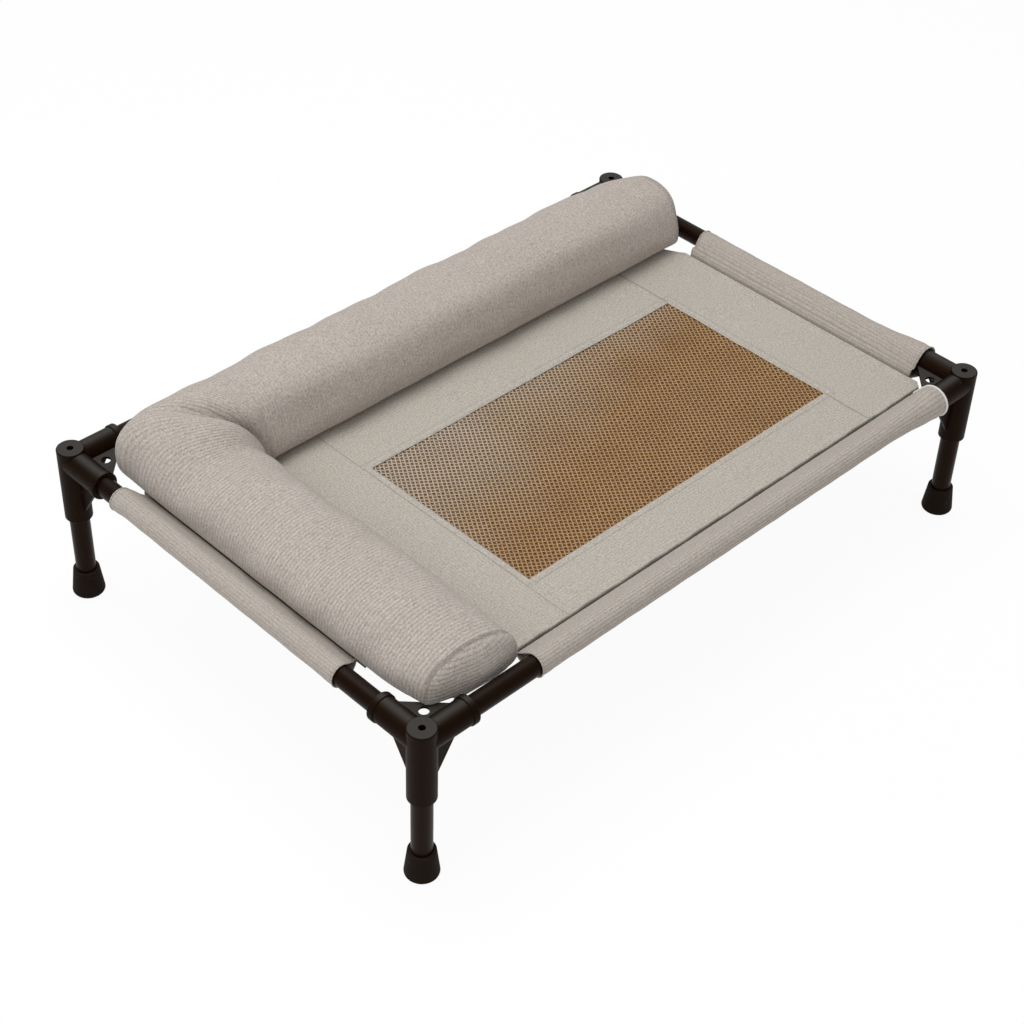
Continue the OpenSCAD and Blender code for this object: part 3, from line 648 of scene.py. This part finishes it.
def yarnPoints(offsets, t, z, d, n, ring):
    # a ring of points at each place t along each line, the lines set off sideways, at the heights z
    centre = netMiddle + offsets[:, None, None] * n + t[..., None] * d
    flat = centre[:, :, None, :] + ring[None, None, :, :1] * n
    return centre, np.concatenate([flat, (z[:, :, None] + ring[None, None, :, 1])[..., None]], -1)


def yarnSides(here, there):  # four quads between each ring and the next
    return np.stack([here, np.roll(here, -1, 1), np.roll(there, -1, 1), there], -1).reshape(-1, 4)


def threadFamily(name, direction, pitch, crossPitch, phase):
    # straight lines a pitch apart, cut to the window; each is a four-sided yarn that weaves up and down
    d, n = directions(direction)
    count = int(np.abs(n * netHalf).sum() / pitch)
    offsets = np.arange(-count, count + 1) * pitch
    step = crossPitch / weave["perCrossing"]
    most = int(np.abs(d * netHalf).sum() / step)
    t = (np.arange(-most, most + 1) * step)[None, :]
    lines = np.arange(len(offsets))[:, None]
    z = netLevel + weave["rise"] * np.cos(np.pi * t / crossPitch + np.pi * lines + phase)
    ring = np.array([[-0.5, 0.0], [0.0, 0.5], [0.5, 0.0], [0.0, -0.5]]) * [weave["width"], weave["height"]]
    centre, points = yarnPoints(offsets, t, z, d, n, ring)
    inside = np.all(np.abs(centre - netMiddle) <= netHalf, -1)
    index = np.arange(inside.size * 4).reshape(*inside.shape, 4)
    both = inside[:, :-1] & inside[:, 1:]
    sides = yarnSides(index[:, :-1][both], index[:, 1:][both])
    before = np.pad(both, ((0, 0), (1, 0)))
    after = np.pad(both, ((0, 0), (0, 1)))
    starts = index[after & ~before]
    ends = index[before & ~after][:, ::-1]
    used, faces = np.unique(np.concatenate([sides, starts, ends]), return_inverse=True)
    piece = addPiece(name, points.reshape(-1, 3)[used], faces.reshape(-1, 4)[:, ::-1], meshThread)
    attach(piece, "frame")
    return piece


def groundFamily(name, direction, pitch, height):
    # flat yarns half a pitch between the threads, each one straight box cut to the window; wide and dark,
    # they close the gaps, partly as painted shade
    d, n = directions(direction)
    count = int(np.abs(n * netHalf).sum() / pitch)
    offsets = (np.arange(-count, count) + 0.5) * pitch
    begin = ((-np.sign(d) * netHalf - offsets[:, None] * n) / d).max(1)
    finish = ((np.sign(d) * netHalf - offsets[:, None] * n) / d).min(1)
    keep = finish - begin > weave["shortest"]
    ends = np.stack([begin, finish], -1)[keep]
    ring = np.array([[-0.5, -0.5], [-0.5, 0.5], [0.5, 0.5], [0.5, -0.5]])
    ring = ring * [weave["groundWidth"], weave["groundHeight"]]
    points = yarnPoints(offsets[keep], ends, np.full(ends.shape, height), d, n, ring)[1]
    index = np.arange(len(ends) * 8).reshape(-1, 2, 4)
    here, there = index[:, 0], index[:, 1]
    faces = np.concatenate([yarnSides(here, there), here[:, ::-1], there])
    piece = addPiece(name, points, faces, meshGroundAndGapShade)
    piece.data.polygons.foreach_set("use_smooth", np.zeros(len(piece.data.polygons), bool))
    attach(piece, "frame")


warp = threadFamily("meshWarp", weave["first"], weave["firstPitch"], weave["secondPitch"], 0.0)
threadFamily("meshWeft", weave["second"], weave["secondPitch"], weave["firstPitch"], np.pi)
groundLevel = netLevel - weave["groundDrop"]
groundFamily("meshGroundOne", weave["first"], weave["firstPitch"], groundLevel)
groundFamily("meshGroundTwo", weave["second"], weave["secondPitch"], groundLevel - weave["groundGap"])
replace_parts(warp, "mesh_panel")
print("mesh woven")


# Bolster: an L of domed sections, filled by a cloth simulation
bolster = dict(
    shortHeight=0.058, longHeight=0.084, bend=0.010, bendPower=1.4, cornerRound=0.032, foldDepth=0.032,
    foldSpread=0.10, drawLength=0.060, drawDown=0.005, drawSide=0.018, frontDraw=0.008, skew=0.007,
    capSwell=0.0125, capMiddle=0.15, capTurn=0.49, widest=0.22, domePower=0.9, basePower=0.6, margin=0.0008,
    shortSteps=70, bendSteps=48, longSteps=120, sectionPoints=72, capRings=14, heldBelow=0.003,
    mostMove=0.0022, frames=20, ribRadius=0.11, creaseDepth=0.006, creaseWidth=0.006, creaseReach=0.135,
    creasePower=0.7, creaseFade=(-0.02, 0.005), lumps=0.0009,
    flatLumps=[(1, 9, 4, 0.3), (0.8, 5, 13, 1.1), (0.5, 21, 9, 2.2)],
    sideLumps=[(0.7, 6, 17, 0.5), (0.6, 16, 11, 1.9)], topFade=(0.006, 0.02), seamDepth=0.0008,
    seamWidth=0.0030, endLift=0.009, endLength=0.028, liftHeight=0.040, webEdge=-0.611, webFade=0.012,
    webTop=0.1876, calm=0.15, calmLong=0.55, calmFade=(-0.06, 0.05), seamShade=0.3, shadeWidth=0.0022,
    shadeFade=(0.002, 0.01), creaseShade=0.75)
filling = dict(
    quality=6, mass=0.25, tension_stiffness=12, compression_stiffness=12, bending_stiffness=0.4,
    use_pressure=True, uniform_pressure_force=4.0, vertex_group_mass="held")
frontEnd, rightEnd, baseAt = bolsterLow[1], bolsterHigh[0], bolsterLow[2]
bendX, bendY = shortInner + bolster["bend"], longInner - bolster["bend"]


def signedPower(v, p):  # power of the size, with the sign kept
    return np.sign(v) * np.abs(v) ** p


def bolsterSection():
    # share of width and height round the section: domed above, flat below, widest near the base
    a = np.linspace(0, 2 * np.pi, bolster["sectionPoints"], endpoint=False)
    p = np.where(np.sin(a) >= 0, bolster["domePower"], bolster["basePower"])
    rise = np.where(np.sin(a) >= 0, 1 - bolster["widest"], bolster["widest"])
    return (1 - signedPower(np.cos(a), p)) / 2, bolster["widest"] + rise * signedPower(np.sin(a), p)


def bendWidth(angle):
    # from the bend's pivot out to a rectangle with a rounded corner, less the inside radius
    corner = np.array([armWidth["short"], armWidth["long"]]) + bolster["bend"]
    roundAt = corner - bolster["cornerRound"]
    direction = np.stack([np.cos(angle), np.sin(angle)], -1)
    straight = np.min(corner / np.maximum(direction, 1e-9), axis=1)
    middle = direction @ roundAt
    rounded = middle + np.sqrt(np.maximum(middle ** 2 - roundAt @ roundAt + bolster["cornerRound"] ** 2, 0))
    onRounding = np.all(direction * straight[:, None] > roundAt, axis=1)
    return np.where(onRounding, rounded, straight) - bolster["bend"]


def bolsterStations():
    # inner point, outward direction, width, height and fold along the L, from its front end
    def drawn(d):  # 1 at a sewn end, falling to 0 along a quarter sine
        return 1 - np.sin(np.pi / 2 * np.minimum(d / bolster["drawLength"], 1))

    short = np.linspace(0, bendY - frontEnd, bolster["shortSteps"], endpoint=False)
    u = np.linspace(-1, 1, bolster["bendSteps"] + 1)
    angle = np.pi / 4 * (1 + signedPower(u, bolster["bendPower"]))
    long = np.linspace(rightEnd - bendX, 0, bolster["longSteps"] + 1)[1:]
    inner = np.concatenate([
        np.stack([np.full_like(short, shortInner), frontEnd + short], -1),
        np.stack([bendX - bolster["bend"] * np.cos(angle), bendY + bolster["bend"] * np.sin(angle)], -1),
        np.stack([rightEnd - long, np.full_like(long, longInner)], -1)])
    turn = np.concatenate([np.zeros_like(short), angle, np.full_like(long, np.pi / 2)])
    outward = np.stack([-np.cos(turn), np.sin(turn)], -1)
    width = np.concatenate([armWidth["short"] - bolster["frontDraw"] * drawn(short), bendWidth(angle),
                            armWidth["long"] - bolster["drawSide"] * drawn(long)])
    swell = np.where(angle >= np.pi / 4, 1, (1 - np.cos(4 * angle)) / 2)
    low, high, down = (bolster[key] for key in ("shortHeight", "longHeight", "drawDown"))
    height = np.concatenate([low - down * drawn(short), low + (high - low) * swell,
                             high - down * drawn(long)])
    valley = np.exp(-np.abs(turn - np.pi / 4) / bolster["foldSpread"]) * np.sin(2 * turn) ** 2
    return inner, outward, width, height, bolster["foldDepth"] * valley


def frontPlane(x):  # the sewn front end stands a little further forward on its inner side
    return frontEnd - bolster["skew"] * np.clip(1 - (shortInner - x) / armWidth["short"], 0, 1)


def ringsAt(inner, outward, width, height, fold):
    # the section in its place at each station, drawn in by a margin, its inner side lowered by the fold
    margin, (across, up) = bolster["margin"], bolsterSection()
    reach = margin + (width - 2 * margin)[:, None] * across[None, :]
    flat = inner[:, None, :] + outward[:, None, :] * reach[..., None]
    top = height[:, None] - margin - fold[:, None] * (1 - across[None, :]) ** 2
    return np.concatenate([flat, (baseAt + top * up[None, :])[..., None]], -1)


def endCap(ring, direction):
    # the end ring drawn to a point near its base along a quarter circle, so that it domes outwards
    a = np.linspace(0, bolster["capTurn"] * np.pi, bolster["capRings"])[:, None, None]
    middle = (ring.min(0) + ring.max(0)) / 2
    middle[2] = baseAt + bolster["capMiddle"] * (ring[:, 2].max() - baseAt)
    return middle + (ring - middle) * np.cos(a) + np.array(direction) * bolster["capSwell"] * np.sin(a)


def bolsterShape():
    # start shape: all rings between the two caps, joined into one closed skin
    rings = ringsAt(*bolsterStations())
    fromFront = softStep(rings[..., 1], frontEnd, frontEnd + bolster["drawLength"])
    forward = frontPlane(rings[..., 0]) - frontEnd
    rings[..., 1] += forward * np.where(rings[..., 0] < bendX, 1 - fromFront, 0)
    front = endCap(rings[0], (0, -1, 0))
    right = endCap(rings[-1], (1, 0, 0))
    points = np.concatenate([front[::-1], rings[1:-1], right])
    faces = gridFaces(len(points), bolster["sectionPoints"], wrap=True)
    mesh = bpy.data.meshes.new("bolster")
    mesh.from_pydata(points.reshape(-1, 3).tolist(), [], faces.tolist())
    closeMesh(mesh)
    return mesh


def readPoints(mesh, key):  # places or normals of all points
    values = np.zeros(len(mesh.vertices) * 3, np.float32)
    mesh.vertices.foreach_get(key, values)
    return values.reshape(-1, 3).astype(float)


def movePoints(mesh, points):  # new places for all points
    mesh.vertices.foreach_set("co", points.astype(np.float32).ravel())
    mesh.update()


def fillBolster(piece):
    # cloth under inner pressure, its base held, each move cut to a limit
    rest = readPoints(piece.data, "co")
    group = piece.vertex_groups.new(name="held")
    low = np.flatnonzero(rest[:, 2] < baseAt + bolster["heldBelow"])
    group.add(low.tolist(), 1.0, "REPLACE")
    cloth = piece.modifiers.new("fill", "CLOTH")
    for key, value in filling.items():
        setattr(cloth.settings, key, value)
    cloth.settings.effector_weights.gravity = 0
    cloth.point_cache.frame_start = 1
    cloth.point_cache.frame_end = bolster["frames"]
    for number in range(1, bolster["frames"] + 1):
        scene.frame_set(number)
    filled = piece.evaluated_get(bpy.context.evaluated_depsgraph_get())
    moved = readPoints(filled.data, "co") - rest
    piece.modifiers.remove(cloth)
    scene.frame_set(1)
    reach = np.linalg.norm(moved, axis=1, keepdims=True)
    moved *= np.minimum(1, bolster["mostMove"] / np.maximum(reach, 1e-9))
    movePoints(piece.data, rest + moved)
    print("bolster filled, mean move mm", round(float(reach.mean()) * 1000, 2))


def ribPlace(x, y):
    # distance along the L, turned into an angle about the bend's pivot in the corner
    radius = bolster["ribRadius"]
    corner = radius * np.arctan2(np.maximum(y - bendY, 0), np.maximum(bendX - x, 1e-6))
    return np.where(y < bendY, y - bendY, np.where(x > bendX, radius * np.pi / 2 + x - bendX, corner))


def cornerFold(x, y):
    # share of the fold on the mitre line: sharp across it, fading out towards the outer corner
    mitre = np.abs((y - bendY) - (bendX - x)) / math.sqrt(2)
    out = np.hypot(x - bendX, y - bendY)
    near = stepNear(y, bendY, bolster["creaseFade"]) * softStep(bendX - x, *bolster["creaseFade"])
    outer = np.clip(1 - out / bolster["creaseReach"], 0, 1) ** bolster["creasePower"]
    return near * np.exp(-mitre / bolster["creaseWidth"]) * outer


def endSeams(x, y):  # distance from the plane of the nearer sewn end
    toRight = np.where(y > bendY, np.abs(rightEnd - x), 1.0)
    return np.where(x < bendX, np.abs(y - frontPlane(x)), toRight)


def shapeBolster(piece):
    # fold from the inner corner, soft lumps of the filling, the drawn seams of the end panels, and a flat
    # base that lifts at the right end and rests on the connector's web at the front end
    points, normals = readPoints(piece.data, "co"), readPoints(piece.data, "normal")
    x, y, z = points.T
    lump = ripples(x, y, bolster["flatLumps"]) + ripples(y, z, bolster["sideLumps"])
    seam = hump(endSeams(x, y), bolster["seamWidth"])
    top = stepNear(z, baseAt, bolster["topFade"])
    push = -bolster["creaseDepth"] * cornerFold(x, y) + bolster["lumps"] * lump
    push = (push - bolster["seamDepth"] * seam) * top
    points = points + normals * push[:, None]
    toEnd = rightEnd + bolster["capSwell"] - points[:, 0]
    lift = bolster["endLift"] * (1 - softStep(toEnd, 0, bolster["endLength"])) ** 2
    points[:, 2] += lift * np.clip(1 - (points[:, 2] - baseAt) / bolster["liftHeight"], 0, 1)
    webEdge = bolster["webEdge"]
    onWeb = 1 - softStep(points[:, 0] + points[:, 1], webEdge, webEdge + bolster["webFade"])
    points[:, 2] = np.maximum(points[:, 2], baseAt + (bolster["webTop"] - baseAt) * onWeb)
    movePoints(piece.data, points)


def makeBolster():
    # the start shape filled and shaped, its ribs across the arms and level on the end panels
    piece = bpy.data.objects.new("bolster", bolsterShape())
    scene.collection.objects.link(piece)
    fillBolster(piece)
    shapeBolster(piece)
    x, y, z = readPoints(piece.data, "co").T
    onCap = (y < frontPlane(x)) | (x > rightEnd)
    seam = hump(endSeams(x, y), bolster["shadeWidth"]) * stepNear(z, baseAt, bolster["shadeFade"])
    setAttributes(piece.data, {
        "rib": np.where(onCap, z, ribPlace(x, y)),
        "calm": bolster["calm"] + bolster["calmLong"] * stepNear(x, bendX, bolster["calmFade"]),
        "crease": np.maximum(bolster["seamShade"] * seam, bolster["creaseShade"] * cornerFold(x, y) ** 2)})
    piece.data.materials.append(bolsterCloth)
    piece.data.polygons.foreach_set("use_smooth", np.ones(len(piece.data.polygons), bool))
    smooth = piece.modifiers.new("smooth", "SUBSURF")
    smooth.levels = smooth.render_levels = 1
    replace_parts(piece, "bolster_cover", "bolster_cap_front", "bolster_cap_right", "bolster_fill")
    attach(piece, "bolster")


makeBolster()
print("bolster made")


# Camera, floor and light
cameraLook = dict(
    azimuth=-45.3873, elevation=40.1048, roll=2.0996, distance=2.391189, aside=-0.0162462, above=0.0397608,
    focalPixels=2083.915, imagePixels=1024, sensor=36.0, farthest=50)
floorLook = dict(grey=0.93, roughness=0.9, lift=0.94, half=6.0)
lightLook = dict(
    ambient=0.53, aim=(0, 0, 0.2),
    lamps=[("key", (-0.2, 0.38, 2.6), 1.8, 37), ("side", (-2.0, -0.6, 1.5), 1.2, 9)])


def levelAxes(back):  # right and up of a view without roll
    right = np.cross([0, 0, 1.0], back)
    right /= np.linalg.norm(right)
    return right, np.cross(back, right)


def addPlaced(name, data, right, up, back, place):  # object turned to the three axes of its view
    item = bpy.data.objects.new(name, data)
    item.matrix_world = Matrix([[right[k], up[k], back[k], place[k]] for k in range(3)] + [[0, 0, 0, 1]])
    scene.collection.objects.link(item)
    return item


def makeCamera(look):
    # right, up and back of the view from its three angles; the place is back along the view
    a, e, r = (math.radians(look[key]) for key in ("azimuth", "elevation", "roll"))
    back = np.array([math.sin(a) * math.cos(e), -math.cos(a) * math.cos(e), math.sin(e)])
    right, up = levelAxes(back)
    turned = math.cos(r) * right + math.sin(r) * up
    raised = -math.sin(r) * right + math.cos(r) * up
    place = turned * look["aside"] + raised * look["above"] + back * look["distance"]
    data = bpy.data.cameras.new("camera")
    data.sensor_width = look["sensor"]
    data.lens = look["focalPixels"] / look["imagePixels"] * look["sensor"]
    data.clip_end = look["farthest"]
    scene.camera = addPlaced("camera", data, turned, raised, back, place)


def addLamp(name, place, size, power):  # round lamp turned to the common aim
    data = bpy.data.lights.new(name, "AREA")
    data.shape = "DISK"
    data.size = size
    data.energy = power
    back = np.array(place, float) - np.array(lightLook["aim"], float)
    back /= np.linalg.norm(back)
    addPlaced(name, data, *levelAxes(back), back, place)


def mixInto(tree, factor, first, second, output):  # two shaders mixed into an output
    mix = newNode(tree, "MixShader")
    for socket, source in zip(mix.inputs, (factor, first, second)):
        tree.links.new(source, socket)
    tree.links.new(mix.outputs["Shader"], tree.nodes[output].inputs["Surface"])


def makeFloor(look):
    # pale floor that takes the shadow; seen directly it is lifted towards white
    material, tree, shader = startMaterial("floor")
    setShader(tree, shader, {"Base Color": (look["grey"],) * 3, "Roughness": look["roughness"],
                             "Specular IOR Level": 0.0})
    glow = newNode(tree, "Emission")
    glow.inputs["Strength"].default_value = 1.0
    path = newNode(tree, "LightPath")
    seen = calc(tree, "MAXIMUM", path.outputs["Is Camera Ray"], path.outputs["Is Glossy Ray"])
    mixInto(tree, scaled(tree, seen, look["lift"]), shader.outputs["BSDF"], glow.outputs["Emission"],
            "Material Output")
    u = np.linspace(-look["half"], look["half"], 3)
    x, y = np.meshgrid(u, u, indexing="ij")
    floor = addPiece("floor", np.stack([x, y, np.zeros_like(x)], -1), gridFaces(3, 3), material)


def makeWorld(strength):  # even white light, and plain white where the world itself is seen
    world = bpy.data.worlds.new("studio")
    world.use_nodes = True
    tree = world.node_tree
    ambient, shown = tree.nodes["Background"], newNode(tree, "Background")
    ambient.inputs["Strength"].default_value = strength
    for light in (ambient, shown):
        light.inputs["Color"].default_value = (1, 1, 1, 1)
    path = newNode(tree, "LightPath")
    mixInto(tree, path.outputs["Is Camera Ray"], ambient.outputs["Background"], shown.outputs["Background"],
            "World Output")
    scene.world = world


makeCamera(cameraLook)
makeFloor(floorLook)
makeWorld(lightLook["ambient"])
for lamp in lightLook["lamps"]:
    addLamp(*lamp)
scene.view_settings.view_transform = "Standard"
print("camera, floor and light made")
